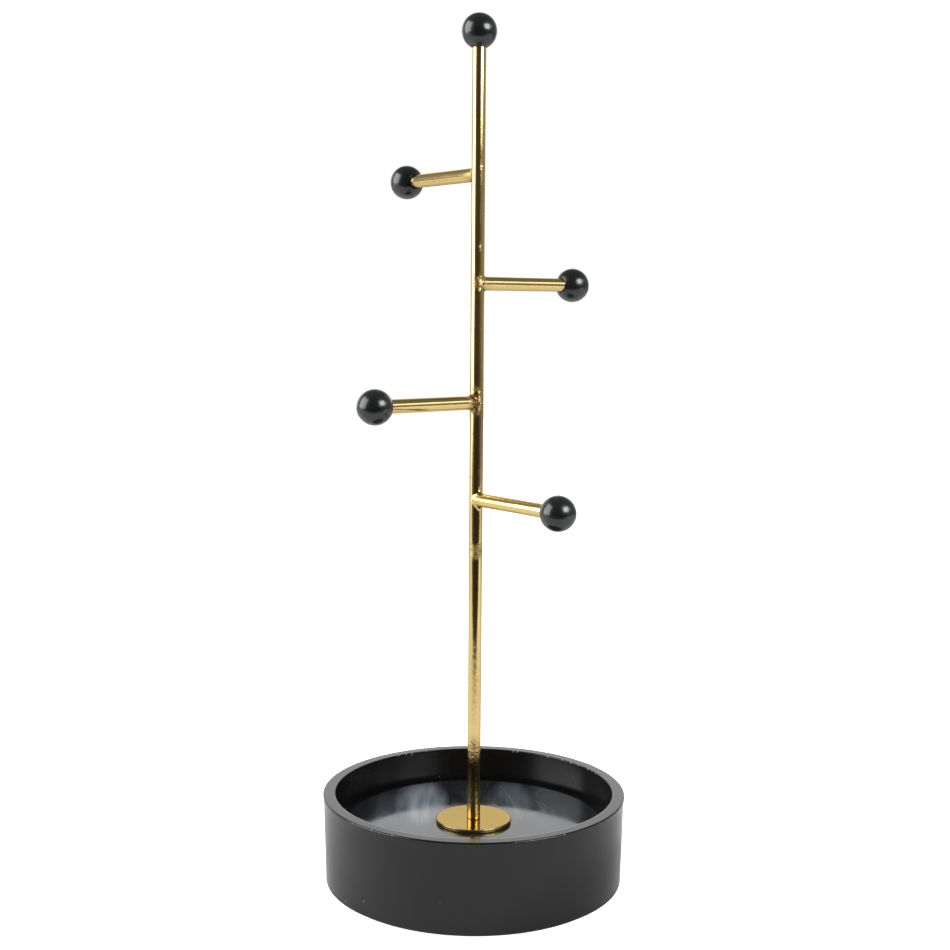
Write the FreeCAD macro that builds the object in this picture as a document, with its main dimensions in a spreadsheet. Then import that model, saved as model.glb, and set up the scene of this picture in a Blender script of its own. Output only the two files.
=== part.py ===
import FreeCAD, Part
import math
import os

import Sketcher

# Jewelry stand: a round tray with a rod standing in it, four arms on the rod, and a ball on every rod end.
# The stand rests on z = 0 with the rod on the z axis. The tray's front faces -Y.

# Each size that is set by itself: its name, its value in millimetres or degrees, and what it measures.
SIZES = [
    ("tray_diameter", 120.8, "outside of the tray at its rim"),
    ("tray_height", 35.3, "tray from its underside to its rim"),
    ("tray_wall", 4.95, "width of the flat rim"),
    ("tray_side_inset", 1.25, "how far the side draws in from the rim to the foot"),
    ("recess_depth", 15.0, "rim to the floor of the recess"),
    ("rim_flare", 0.5, "how far the rim stands out past the side below it"),
    ("rim_flare_depth", 6.0, "rim down to where it starts to stand out"),
    ("rim_bevel", 0.6, "broken edge outside the rim"),
    ("foot_bevel", 0.4, "broken edge round the foot"),
    ("counterbore_diameter", 18.0, "pocket under the tray for the fixing"),
    ("counterbore_depth", 8.0, "depth of that pocket"),
    ("tray_hole_clearance", 0.5, "hole through the tray, over the rod's tail"),
    ("pad_thickness", 1.4, "pad under the tray"),
    ("pad_inset", 2.2, "edge of the pad inside the edge of the foot"),
    ("disc_thickness", 2.0, "disc on the floor of the recess"),
    ("disc_gap", 3.8, "space between the disc and the wall"),
    ("disc_bevel", 0.3, "broken edge round the top of the disc"),
    ("flange_diameter", 30.1, "flange under the rod"),
    ("flange_thickness", 1.5, "flange from face to face"),
    ("flange_bevel", 0.4, "broken edge round the top of the flange"),
    ("rod_diameter", 5.3, "rod of the stem and of the arms"),
    ("stem_rise", 308.4, "top of the flange to the middle of the top ball"),
    ("shoulder_width", 0.65, "step from the rod down to its threaded tail"),
    ("tail_bevel", 0.4, "broken edge at the end of the tail"),
    ("tail_past_nut", 1.2, "length of tail that stands out of the nut"),
    ("tail_hole_clearance", 0.3, "holes in the flange, disc and flat washer, over the tail"),
    ("thread_clearance", 0.1, "bores of the nut and the spring washer, over the tail"),
    ("washer_diameter", 12.0, "flat washer"),
    ("washer_thickness", 1.0, "flat washer from face to face"),
    ("spring_washer_diameter", 7.6, "spring washer"),
    ("spring_washer_thickness", 0.9, "spring washer, pressed flat"),
    ("spring_washer_slit", 0.8, "cut through the spring washer"),
    ("nut_across_flats", 7.0, "hexagon nut"),
    ("nut_height", 3.2, "hexagon nut from face to face"),
    ("nut_bevel", 0.3, "height of the nut's broken corners"),
    ("ball_diameter", 13.6, "balls on the rod ends"),
    ("socket_floor", 1.0, "end of the rod to the middle of its ball"),
    ("socket_clearance", 0.1, "bore of a ball, over the rod"),
    ("arm_reach", 49.4, "stem's axis to the middle of an arm's ball"),
    ("arm_root", 1.2, "stem's axis to the end of the arm's saddle"),
    ("braze_gap", 0.05, "film between the braze and a rod"),
    ("braze_leg", 1.3, "length of the fillet along each rod"),
    ("braze_edge", 0.15, "thickness of the fillet where it runs out on the arm"),
    ("braze_side_thickness", 0.25, "thickness of the fillet beside the arm"),
    ("upper_left_drop", 53.6, "middle of the top ball down to this arm"),
    ("upper_right_drop", 41.5, "arm above down to this arm"),
    ("lower_left_drop", 46.1, "arm above down to this arm"),
    ("lower_right_drop", 38.1, "arm above down to this arm"),
    ("upper_left_azimuth", 126.3, "direction of this arm, from +X towards +Y"),
    ("upper_right_azimuth", 38.6, "direction of this arm, from +X towards +Y"),
    ("lower_left_azimuth", 220.5, "direction of this arm, from +X towards +Y"),
    ("lower_right_azimuth", 307.6, "direction of this arm, from +X towards +Y"),
]

# The arms, from the top down.
ARMS = ["upper_left", "upper_right", "lower_left", "lower_right"]

# Radii and lengths that follow from the sizes, as expressions over the sheet.
ROD_RADIUS = "(Sizes.rod_diameter / 2)"
TAIL_RADIUS = "(Sizes.rod_diameter / 2 - Sizes.shoulder_width)"
TAIL_HOLE = f"({TAIL_RADIUS} + Sizes.tail_hole_clearance / 2)"
TRAY_HOLE = f"({TAIL_RADIUS} + Sizes.tray_hole_clearance / 2)"
THREAD_BORE = f"({TAIL_RADIUS} + Sizes.thread_clearance / 2)"
SOCKET_RADIUS = "(Sizes.rod_diameter / 2 + Sizes.socket_clearance / 2)"
SADDLE_RADIUS = "(Sizes.rod_diameter / 2 + Sizes.braze_gap)"
RIM_RADIUS = "(Sizes.tray_diameter / 2)"
FOOT_RADIUS = "(Sizes.tray_diameter / 2 - Sizes.tray_side_inset)"
RECESS_RADIUS = "(Sizes.tray_diameter / 2 - Sizes.tray_wall)"
RECESS_HEIGHT = "(Sizes.tray_height - Sizes.recess_depth)"
COUNTERBORE_RADIUS = "(Sizes.counterbore_diameter / 2)"
DISC_RADIUS = f"({RECESS_RADIUS} - Sizes.disc_gap)"
FLANGE_RADIUS = "(Sizes.flange_diameter / 2)"
NUT_CORNER = "(Sizes.nut_across_flats / sqrt(3))"

# Heights above the surface that the stand rests on.
RECESS_FLOOR = f"(Sizes.pad_thickness + {RECESS_HEIGHT})"
DISC_TOP = f"({RECESS_FLOOR} + Sizes.disc_thickness)"
FLANGE_TOP = f"({DISC_TOP} + Sizes.flange_thickness)"
TOP_BALL = f"({FLANGE_TOP} + Sizes.stem_rise)"
WASHER_SEAT = "(Sizes.pad_thickness + Sizes.counterbore_depth)"
WASHER_BOTTOM = f"({WASHER_SEAT} - Sizes.washer_thickness)"
SPRING_WASHER_BOTTOM = f"({WASHER_BOTTOM} - Sizes.spring_washer_thickness)"
NUT_BOTTOM = f"({SPRING_WASHER_BOTTOM} - Sizes.nut_height)"
TAIL_END = f"({NUT_BOTTOM} - Sizes.tail_past_nut)"

# Stands for no distance, where a corner of an outline lies on the sketch's axis.
ON_AXIS = "on axis"

# The sketcher's own numbers for its origin, its two axes and the points of a line or circle.
ORIGIN_INDEX = -1
ACROSS_AXIS_INDEX = -1
UP_AXIS_INDEX = -2
START_INDEX = 1
END_INDEX = 2
CENTRE_INDEX = 3

# Turns a standing cylinder to lie along +X, and a ball so that its socket opens downwards.
UPRIGHT = "rotation(vector(0; 0; 1); 0)"
LYING = "rotation(vector(0; 1; 0); 90)"
SOCKET_DOWN = "rotation(vector(0; 1; 0); -90)"

doc = FreeCAD.newDocument("jewelry_stand")
pieces = []


def add_sheet():
    """Puts every size into the sheet under its own name."""
    sheet = doc.addObject("Spreadsheet::Sheet", "Sizes")
    for row, (name, size, meaning) in enumerate(SIZES, start=1):
        sheet.set(f"A{row}", name)
        sheet.set(f"B{row}", str(size))
        sheet.setAlias(f"B{row}", name)
        sheet.set(f"C{row}", meaning)
    doc.recompute()
    return sheet


sizes = add_sheet()


def value(expression):
    """The number that an expression over the sheet gives."""
    return float(sizes.evalExpression(expression))


def place_at(x, y, z, turn=UPRIGHT):
    """An expression for a place and a turn."""
    return f"placement(vector({x}; {y}; {z}); {turn})"


def finish_piece(item, label, place):
    """Names a finished piece, puts it in its place and lists it for writing."""
    item.Label = label
    item.setExpression("Placement", place)
    pieces.append(item)


def finish_on_axis(item, label, height):
    """Finishes a piece that stands on the stem's axis."""
    finish_piece(item, label, place_at(0, 0, height))


# Sketched pieces


def add_sketch(body, role):
    """A sketch on one of the body's own planes."""
    sketch = body.newObject("Sketcher::SketchObject", f"{body.Name}_sketch")
    plane = next(feature for feature in body.Origin.OriginFeatures if feature.Role == role)
    sketch.AttachmentSupport = (plane, [""])
    sketch.MapMode = "FlatFace"
    return sketch


def add_dimension(sketch, constraint, expression):
    """Adds a constraint that takes its size from an expression."""
    number = sketch.addConstraint(constraint)
    sketch.setExpression(f"Constraints[{number}]", expression)


def draw_circle(sketch, radius):
    """A circle round the sketch's origin."""
    size = value(radius)
    circle = sketch.addGeometry(Part.Circle(FreeCAD.Vector(), FreeCAD.Vector(0, 0, 1), size))
    sketch.addConstraint(Sketcher.Constraint("Coincident", circle, CENTRE_INDEX, ORIGIN_INDEX, START_INDEX))
    add_dimension(sketch, Sketcher.Constraint("Radius", circle, size), radius)


def corner_point(corner):
    """Where a corner starts out, before the sketch is solved."""
    across, up = (0.0 if distance == ON_AXIS else value(distance) for distance in corner)
    return FreeCAD.Vector(across, up, 0)


def tie_corner(sketch, side, corner):
    """Holds the start of a side at its two distances from the sketch's axes."""
    across, up = corner
    for kind, distance, axis in (("DistanceX", across, UP_AXIS_INDEX), ("DistanceY", up, ACROSS_AXIS_INDEX)):
        if distance == ON_AXIS:
            sketch.addConstraint(Sketcher.Constraint("PointOnObject", side, START_INDEX, axis))
        else:
            tie = Sketcher.Constraint(kind, ORIGIN_INDEX, START_INDEX, side, START_INDEX, value(distance))
            add_dimension(sketch, tie, distance)


def hollow_quarter(start, end):
    """A quarter circle that falls from start to end and curves inwards."""
    centre = FreeCAD.Vector(end.x, start.y, 0)
    circle = Part.Circle(centre, FreeCAD.Vector(0, 0, 1), end.x - start.x)
    return Part.ArcOfCircle(circle, math.pi, 1.5 * math.pi)


def draw_outline(sketch, corners, hollow_side=None, hollow_radius=None):
    """A closed outline through the corners, with straight sides and at most one hollow quarter circle."""
    points = [corner_point(corner) for corner in corners]
    count = len(points)
    for side, start in enumerate(points):
        end = points[(side + 1) % count]
        if side == hollow_side:
            sketch.addGeometry(hollow_quarter(start, end))
        else:
            sketch.addGeometry(Part.LineSegment(start, end))
    for side in range(count):
        following = (side + 1) % count
        sketch.addConstraint(Sketcher.Constraint("Coincident", side, END_INDEX, following, START_INDEX))
    for side, corner in enumerate(corners):
        tie_corner(sketch, side, corner)
    if hollow_side is not None:
        radius = Sketcher.Constraint("Radius", hollow_side, value(hollow_radius))
        add_dimension(sketch, radius, hollow_radius)


def add_turned(name, corners, axis="V_Axis", **hollow):
    """A body turned from an outline, whose corners are pairs of radius and height."""
    body = doc.addObject("PartDesign::Body", name)
    sketch = add_sketch(body, "XZ_Plane")
    draw_outline(sketch, corners, **hollow)
    turned = body.newObject("PartDesign::Revolution", f"{name}_turned")
    turned.Profile = sketch
    turned.ReferenceAxis = (sketch, [axis])
    turned.Angle = 360.0
    return body


def add_stamped(name, radius, thickness, hole=None):
    """A round body stamped from sheet, with a hole in its middle where one is given."""
    body = doc.addObject("PartDesign::Body", name)
    sketch = add_sketch(body, "XY_Plane")
    draw_circle(sketch, radius)
    if hole:
        draw_circle(sketch, hole)
    plate = body.newObject("PartDesign::Pad", f"{name}_plate")
    plate.Profile = sketch
    plate.setExpression("Length", thickness)
    return body


def add_bevelled_ring(name, radius, thickness, hole, bevel):
    """A turned ring whose outer top edge is broken."""
    return add_turned(name, [
        (hole, ON_AXIS),
        (radius, ON_AXIS),
        (radius, f"({thickness} - {bevel})"),
        (f"({radius} - {bevel})", thickness),
        (hole, thickness),
    ])


# Primitives and how they are joined


def add_cylinder(name, radius, height, place):
    cylinder = doc.addObject("Part::Cylinder", name)
    cylinder.setExpression("Radius", radius)
    cylinder.setExpression("Height", height)
    cylinder.setExpression("Placement", place)
    return cylinder


def add_box(name, length, width, height, place):
    box = doc.addObject("Part::Box", name)
    box.setExpression("Length", length)
    box.setExpression("Width", width)
    box.setExpression("Height", height)
    box.setExpression("Placement", place)
    return box


def combine(kind, name, base, tool):
    """Cuts the base with the tool, or keeps what they have in common."""
    result = doc.addObject(f"Part::{kind}", name)
    result.Base = base
    result.Tool = tool
    return result


# Tray, and what lies on it and under it


def add_tray():
    """Turned tray with a recess on top and a pocket for the fixing underneath."""
    tray = add_turned("tray", [
        (TRAY_HOLE, "Sizes.counterbore_depth"),
        (COUNTERBORE_RADIUS, "Sizes.counterbore_depth"),
        (COUNTERBORE_RADIUS, ON_AXIS),
        (f"({FOOT_RADIUS} - Sizes.foot_bevel)", ON_AXIS),
        (FOOT_RADIUS, "Sizes.foot_bevel"),
        (f"({RIM_RADIUS} - Sizes.rim_flare)", "(Sizes.tray_height - Sizes.rim_flare_depth)"),
        (RIM_RADIUS, "(Sizes.tray_height - Sizes.rim_bevel)"),
        (f"({RIM_RADIUS} - Sizes.rim_bevel)", "Sizes.tray_height"),
        (RECESS_RADIUS, "Sizes.tray_height"),
        (RECESS_RADIUS, RECESS_HEIGHT),
        (TRAY_HOLE, RECESS_HEIGHT),
    ])
    finish_on_axis(tray, "tray", "Sizes.pad_thickness")


def add_base_pad():
    pad = add_stamped("base_pad", f"({FOOT_RADIUS} - Sizes.pad_inset)", "Sizes.pad_thickness")
    finish_on_axis(pad, "base_pad", 0)


def add_floor_disc():
    disc = add_bevelled_ring("floor_disc", DISC_RADIUS, "Sizes.disc_thickness", TAIL_HOLE, "Sizes.disc_bevel")
    finish_on_axis(disc, "floor_disc", RECESS_FLOOR)


def add_base_flange():
    flange = add_bevelled_ring(
        "base_flange", FLANGE_RADIUS, "Sizes.flange_thickness", TAIL_HOLE, "Sizes.flange_bevel")
    finish_on_axis(flange, "base_flange", DISC_TOP)


# Fixing under the tray


def add_flat_washer():
    washer = add_stamped("flat_washer", "(Sizes.washer_diameter / 2)", "Sizes.washer_thickness", TAIL_HOLE)
    finish_on_axis(washer, "flat_washer", WASHER_BOTTOM)


def add_spring_washer():
    """Ring with a slit, pressed flat between the washer and the nut."""
    ring = add_stamped(
        "spring_ring", "(Sizes.spring_washer_diameter / 2)", "Sizes.spring_washer_thickness", THREAD_BORE)
    slit = add_box(
        "spring_slit", "Sizes.spring_washer_diameter", "Sizes.spring_washer_slit",
        "Sizes.spring_washer_thickness", place_at(0, "-Sizes.spring_washer_slit / 2", 0))
    washer = combine("Cut", "spring_washer", ring, slit)
    finish_on_axis(washer, "spring_washer", SPRING_WASHER_BOTTOM)


def add_fixing_nut():
    """Hexagon nut with its corners broken at both faces."""
    hexagon = doc.addObject("Part::Prism", "nut_hexagon")
    hexagon.Polygon = 6
    hexagon.setExpression("Circumradius", NUT_CORNER)
    hexagon.setExpression("Height", "Sizes.nut_height")
    blank = add_turned("nut_blank", [
        (THREAD_BORE, ON_AXIS),
        ("(Sizes.nut_across_flats / 2)", ON_AXIS),
        (NUT_CORNER, "Sizes.nut_bevel"),
        (NUT_CORNER, "(Sizes.nut_height - Sizes.nut_bevel)"),
        ("(Sizes.nut_across_flats / 2)", "Sizes.nut_height"),
        (THREAD_BORE, "Sizes.nut_height"),
    ])
    nut = combine("Common", "fixing_nut", blank, hexagon)
    finish_on_axis(nut, "fixing_nut", NUT_BOTTOM)


# Stem, arms and balls


def add_stem_rod():
    """Rod whose shoulder stands on the flange and whose tail goes down through the tray."""
    shoulder = f"({FLANGE_TOP} - {TAIL_END})"
    top = f"({TOP_BALL} - Sizes.socket_floor - {TAIL_END})"
    stem = add_turned("stem_rod", [
        (ON_AXIS, ON_AXIS),
        (f"({TAIL_RADIUS} - Sizes.tail_bevel)", ON_AXIS),
        (TAIL_RADIUS, "Sizes.tail_bevel"),
        (TAIL_RADIUS, shoulder),
        (ROD_RADIUS, shoulder),
        (ROD_RADIUS, top),
        (ON_AXIS, top),
    ])
    finish_on_axis(stem, "stem_rod", TAIL_END)


def add_ball(label, place):
    """Ball round its own middle, with a blind socket that opens towards -X."""
    ball = doc.addObject("Part::Sphere", f"{label}_sphere")
    ball.setExpression("Radius", "Sizes.ball_diameter / 2")
    socket = add_cylinder(
        f"{label}_socket", SOCKET_RADIUS, "Sizes.ball_diameter - Sizes.socket_floor",
        place_at("-Sizes.ball_diameter", 0, 0, LYING))
    finish_piece(combine("Cut", label, ball, socket), label, place)


def add_stem_cutter(name):
    """The space that the stem takes up where an arm meets it."""
    return add_cylinder(
        name, SADDLE_RADIUS, "4 * Sizes.rod_diameter", place_at(0, 0, "-2 * Sizes.rod_diameter"))


def add_arm_rod(arm, place):
    """Rod along +X from its saddle on the stem to the floor of its ball's socket."""
    label = f"arm_{arm}"
    rod = add_cylinder(
        f"{label}_rod", ROD_RADIUS, "Sizes.arm_reach - Sizes.socket_floor - Sizes.arm_root",
        place_at("Sizes.arm_root", 0, 0, LYING))
    saddle = add_stem_cutter(f"{label}_saddle")
    finish_piece(combine("Cut", label, rod, saddle), label, place)


def add_braze(arm, place):
    """Hollow fillet round the root of an arm, thinner beside the arm than above and below it."""
    label = f"braze_{arm}"
    inside = f"({ROD_RADIUS} + Sizes.braze_gap)"
    run_out = f"({inside} + Sizes.braze_edge)"
    outside = f"({run_out} + Sizes.braze_leg)"
    far_end = f"({ROD_RADIUS} + Sizes.braze_leg)"
    flare = add_turned(
        f"{label}_flare",
        [
            ("Sizes.arm_root", inside),
            ("Sizes.arm_root", outside),
            (ROD_RADIUS, outside),
            (far_end, run_out),
            (far_end, inside),
        ],
        axis="H_Axis", hollow_side=2, hollow_radius="Sizes.braze_leg")
    half_width = f"({inside} + Sizes.braze_side_thickness)"
    keep = add_box(
        f"{label}_keep", far_end, f"2 * {half_width}", f"2 * {outside}",
        place_at(0, f"-{half_width}", f"-{outside}"))
    slim = combine("Common", f"{label}_slim", flare, keep)
    saddle = add_stem_cutter(f"{label}_saddle")
    finish_piece(combine("Cut", label, slim, saddle), label, place)


def add_arms():
    """Arms one below the other, each with its braze and its ball."""
    level = TOP_BALL
    for arm in ARMS:
        level = f"({level} - Sizes.{arm}_drop)"
        turn = f"rotation(vector(0; 0; 1); Sizes.{arm}_azimuth)"
        root = place_at(0, 0, level, turn)
        add_arm_rod(arm, root)
        add_braze(arm, root)
        across = f"Sizes.arm_reach * cos(Sizes.{arm}_azimuth * 1 deg)"
        along = f"Sizes.arm_reach * sin(Sizes.{arm}_azimuth * 1 deg)"
        add_ball(f"ball_{arm}", place_at(across, along, level, turn))


def check_document():
    """Stops if anything failed to build or a piece isn't one sound solid."""
    for item in doc.Objects:
        if {"Invalid", "Error"} & set(item.State):
            raise RuntimeError(f"{item.Label} did not build: {item.State}")
    for piece in pieces:
        shape = piece.Shape
        if shape.isNull() or not shape.isValid() or len(shape.Solids) != 1:
            raise RuntimeError(f"{piece.Label} is not one sound solid")


def write_pieces():
    os.makedirs("parts", exist_ok=True)
    for piece in pieces:
        piece.Shape.exportStep(os.path.join("parts", f"{piece.Label}.step"))
        print(f"{piece.Label}: {piece.Shape.Volume:.1f} cubic millimetres")


add_base_pad()
add_tray()
add_floor_disc()
add_base_flange()
add_flat_washer()
add_spring_washer()
add_fixing_nut()
add_stem_rod()
add_arms()
add_ball("ball_top", place_at(0, 0, TOP_BALL, SOCKET_DOWN))
doc.recompute()
check_document()
write_pieces()
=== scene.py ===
"""Looks of the jewelry stand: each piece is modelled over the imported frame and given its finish."""
import math
from contextlib import contextmanager

import bmesh
import bpy
from bpy.props import FloatProperty, FloatVectorProperty, PointerProperty
from mathutils import Matrix, Vector


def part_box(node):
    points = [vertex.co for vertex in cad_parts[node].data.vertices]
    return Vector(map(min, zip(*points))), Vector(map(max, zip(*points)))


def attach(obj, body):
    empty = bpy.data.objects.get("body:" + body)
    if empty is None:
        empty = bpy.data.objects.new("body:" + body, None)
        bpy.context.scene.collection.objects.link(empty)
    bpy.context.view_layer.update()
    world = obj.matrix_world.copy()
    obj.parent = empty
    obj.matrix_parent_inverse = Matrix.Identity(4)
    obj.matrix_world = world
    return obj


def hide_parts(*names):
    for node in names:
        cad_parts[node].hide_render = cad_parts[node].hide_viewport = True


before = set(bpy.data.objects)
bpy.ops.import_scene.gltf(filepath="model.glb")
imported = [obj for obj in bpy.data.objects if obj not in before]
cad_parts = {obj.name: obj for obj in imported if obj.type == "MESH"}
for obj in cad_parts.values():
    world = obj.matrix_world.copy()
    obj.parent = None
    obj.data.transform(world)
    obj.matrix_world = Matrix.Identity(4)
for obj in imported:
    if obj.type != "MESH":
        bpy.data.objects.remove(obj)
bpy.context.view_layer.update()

bl_info = {
    "name": "Jewelry stand",
    "version": (1, 0, 0),
    "blender": (4, 5, 0),
    "location": "View3D > Sidebar > Stand",
    "description": "Models the pieces of a jewelry stand and gives them their finishes",
    "category": "Object",
}

MM = 0.001
BODY = "root"
ARMS = ("upper_left", "upper_right", "lower_left", "lower_right")
HIDDEN_FIXING = ("flat_washer", "spring_washer", "fixing_nut")
SAME_PLACE = 0.01 * MM
SMOOTH_ANGLE = math.radians(38)
LIGHT_AIM = 0.25

TRAY_SIDES = 720
DISC_SIDES = 240
FLANGE_SIDES = 192
ROD_SIDES = 96
BALL_SEGMENTS = 128
BALL_RINGS = 96

# Where the rim's paint is chipped, in degrees from +X towards +Y: on its inner edge and on its outer edge.
INNER_CHIPS = (24, 27, 30, 37, 42, 47, 55, 70, 72, 112, 119, 122, 126)
OUTER_CHIPS = (221, 224, 231, 240, 247, 285, 291, 304, 322, 335)

# Rough plating on the stem and by it, and painted shade low on the stem: height, half height and half width
# in millimetres, direction in degrees, strength. Past a strength of 1 the braze has burnt it dark. The three
# lowest darken the stem more and more towards the tray: partly rough plating, partly painted shade.
ROUGH_AND_SHADED_SPOTS = (
    (282.6, 1.6, 1.2, 293, 0.35),
    (252.3, 2.6, 0.9, 287, 0.45),
    (238.6, 5.0, 2.2, 281, 0.85),
    (238.6, 4.0, 2.0, 250, 0.5),
    (193.2, 7.6, 2.5, 267, 2.4),
    (158.7, 1.5, 1.3, 303, 0.7),
    (134.0, 4.4, 7.0, 270, 1.0),
    (80.0, 24.0, 4.5, 270, 0.24),
    (54.0, 8.5, 5.5, 270, 0.3),
    (34.0, 16.0, 9.0, 270, 0.4),
)

# Smears on the disc, and painted highlights: place and reach along X and Y in millimetres, strength.
# The first two paint the light streaks that fine circular scratches catch from the softboxes, behind the stem
# at the left and at the right; the rest are smears.
DISC_SMEARS_AND_HIGHLIGHTS = (
    (-22, 24, 12.5, 31, 0.52),
    (15.5, 26, 11, 29, 0.21),
    (-36, 14, 10, 24, 0.10),
    (30, 18, 16, 30, 0.05),
    (-24, 2, 12, 16, 0.09),
)

# Fine scratches on the disc: place and reach along X and Y in millimetres.
FINE_SCRATCHES = (
    (28, 14, 20, 26),
    (-27, -6, 17, 20),
)

# Duller sheet in front of the flange: place and reach along X and Y in millimetres.
DULL_FRONT = (0, -30, 42, 18)

# Scratches on the disc: from X, Y to X, Y in millimetres, strength.
DISC_SCRATCHES = (
    (11.4, 45.3, 14.7, 32.1, 0.5),
    (14.7, 32.1, 20.0, -1.6, 0.7),
    (26.1, 25.9, 29.3, 10.4, 0.6),
    (27.5, 24.0, 31.0, 17.0, 0.6),
    (-27.3, 9.8, -22.2, -5.4, 0.4),
)

# The room's colours from the camera's side, at 0, to the side behind the stand, at 1.
ROOM_LEVELS = (
    (0.0, (0.050, 0.038, 0.024)),
    (0.08, (0.054, 0.043, 0.030)),
    (0.2, (0.112, 0.103, 0.090)),
    (0.36, (0.18, 0.18, 0.18)),
    (0.56, (0.26, 0.26, 0.26)),
    (0.81, (0.29, 0.29, 0.29)),
    (0.89, (0.36, 0.36, 0.36)),
)

# Softboxes: direction in degrees from the camera to the right, distance and height, width and length, and the
# shares of these over which the light fades.
SOFTBOXES = {
    "left_softbox": (-81.5, 2.0, 0.98, (2.17, 2.26), (0.11, 0.1)),
    "right_softbox": (53, 1.0, 0.70, (0.85, 0.61), (0.25, 0.15)),
    "right_window": (84, 4.0, 1.95, (1.4, 1.3), (0.2, 0.15)),
    "left_wash": (-110, 0.5, 0.45, (0.2, 0.2), (0.25, 0.25)),
}


# Sizes, finishes and stage


def span(node):
    """Size of a CAD node's box."""
    low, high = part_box(node)
    return high - low


def middle(node):
    """Middle of a CAD node's box."""
    low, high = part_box(node)
    return (low + high) / 2


def length(name, description, metres):
    return FloatProperty(name=name, description=description, default=metres, min=0.0, precision=5,
                         subtype="DISTANCE", unit="LENGTH")


def tint(name, description, colour):
    return FloatVectorProperty(name=name, description=description, default=colour, size=3, min=0.0, max=1.0,
                               subtype="COLOR")


def amount(name, description, value):
    return FloatProperty(name=name, description=description, default=value, min=0.0, soft_max=1.0,
                         subtype="FACTOR")


def brightness(name, description, value):
    return FloatProperty(name=name, description=description, default=value, min=0.0)


def turn(name, description, degrees):
    return FloatProperty(name=name, description=description, default=math.radians(degrees), subtype="ANGLE")


class StandSizes(bpy.types.PropertyGroup):
    """Sizes of the stand's pieces that a maker would change."""

    tray_wall: length("Rim width", "Width of the tray's flat rim", 4.95 * MM)
    side_inset: length("Side inset", "How far the tray's side draws in towards its foot", 1.25 * MM)
    rim_flare: length("Rim flare", "How far the rim stands out past the side below it", 0.5 * MM)
    flare_depth: length("Flare depth", "Rim down to where it starts to stand out", 6 * MM)
    recess_depth: length("Recess depth", "Rim to the floor of the recess", 15 * MM)
    pocket_radius: length("Pocket radius", "Pocket for the fixing under the tray", 9 * MM)
    pocket_depth: length("Pocket depth", "Depth of that pocket", 8 * MM)
    tray_hole: length("Tray hole", "Radius of the hole through the tray", 2.25 * MM)
    tail_hole: length("Tail hole", "Radius of the holes in the disc and the flange", 2.15 * MM)
    rim_edge: length("Rim edge", "Rounding of the rim's outer edge", 0.6 * MM)
    foot_edge: length("Foot edge", "Rounding of the tray's foot", 0.4 * MM)
    tail_edge: length("Tail edge", "Rounding of the end of the stem's tail", 0.4 * MM)
    seam_edge: length("Seam edge", "Rounding of the stem where it stands on the flange", 0.2 * MM)
    inner_edge: length("Inner edge", "Rounding of the rim's inner edge", 0.22 * MM)
    disc_edge: length("Disc edge", "Rounding of the disc's edge", 0.3 * MM)
    flange_edge: length("Flange edge", "Rounding of the flange's edges", 0.35 * MM)
    pad_edge: length("Pad edge", "Rounding of the pad's edges", 0.45 * MM)
    rod_radius: length("Rod radius", "Radius of the stem and of the arms", span("stem_rod").x / 2)
    shoulder: length("Shoulder", "Step from the stem down to its tail", 0.65 * MM)
    ball_radius: length("Ball radius", "Radius of the balls", span("ball_upper_left").z / 2)
    socket_gap: length("Socket gap", "Space between a rod and its ball's bore", 0.05 * MM)
    socket_floor: length("Socket floor", "End of a rod to the middle of its ball", 1 * MM)
    arm_root: length("Arm root", "Stem's axis to the end of an arm's saddle", 1.2 * MM)
    braze_leg: length("Braze leg", "Length of the braze along each rod", 1.7 * MM)
    braze_spread: length("Braze spread", "How far the braze spreads along the rods beside the arm", 0.4 * MM)
    braze_side: length("Braze side", "Thickness of the braze beside the arm", 0.16 * MM)
    braze_film: length("Braze film", "Space between the braze and a rod", 0.02 * MM)


class StandFinishes(bpy.types.PropertyGroup):
    """Colours and gloss of the stand's finishes."""

    gold: tint("Gold", "Gold plating of the rods", (0.665, 0.505, 0.217))
    sheet: tint("Sheet gold", "Gold plating of the flange", (0.46, 0.355, 0.157))
    limb: tint("Gold limb", "Share of its light that the plating keeps, seen edge on", (0.62, 0.55, 0.42))
    # Tarnish also paints shade low on the stem and over the flange's rounded edge.
    tarnish_and_shade: tint("Tarnish", "Plating in its pits and over the braze", (0.19, 0.095, 0.021))
    scorch: tint("Scorch", "Plating that the braze has burnt dark", (0.030, 0.015, 0.005))
    paint: tint("Paint", "Satin black paint of the tray", (0.003, 0.003, 0.0029))
    bare: tint("Bare", "Ground that shows where the paint is chipped", (0.20, 0.19, 0.17))
    dust: tint("Dust", "Dust and lint on the paint", (0.20, 0.20, 0.20))
    gloss: tint("Gloss black", "Polished disc in the tray", (0.008, 0.010, 0.012))
    # Haze also paints the highlight streaks on the disc.
    haze_and_highlights: tint("Haze", "Film and smears on the disc", (0.30, 0.346, 0.40))
    ball: tint("Ball black", "Balls on the rods", (0.005, 0.007, 0.0078))
    pad: tint("Pad black", "Foam pad under the tray", (0.012, 0.012, 0.012))
    zinc: tint("Zinc", "Plated washers and nut", (0.62, 0.63, 0.64))
    gold_roughness: amount("Gold roughness", "Roughness of the gold plating", 0.10)
    paint_roughness: amount("Paint roughness", "Roughness of the black paint", 0.17)
    gloss_roughness: amount("Disc roughness", "Roughness of the polished disc", 0.065)
    ball_roughness: amount("Ball roughness", "Roughness of the balls", 0.2)


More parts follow.
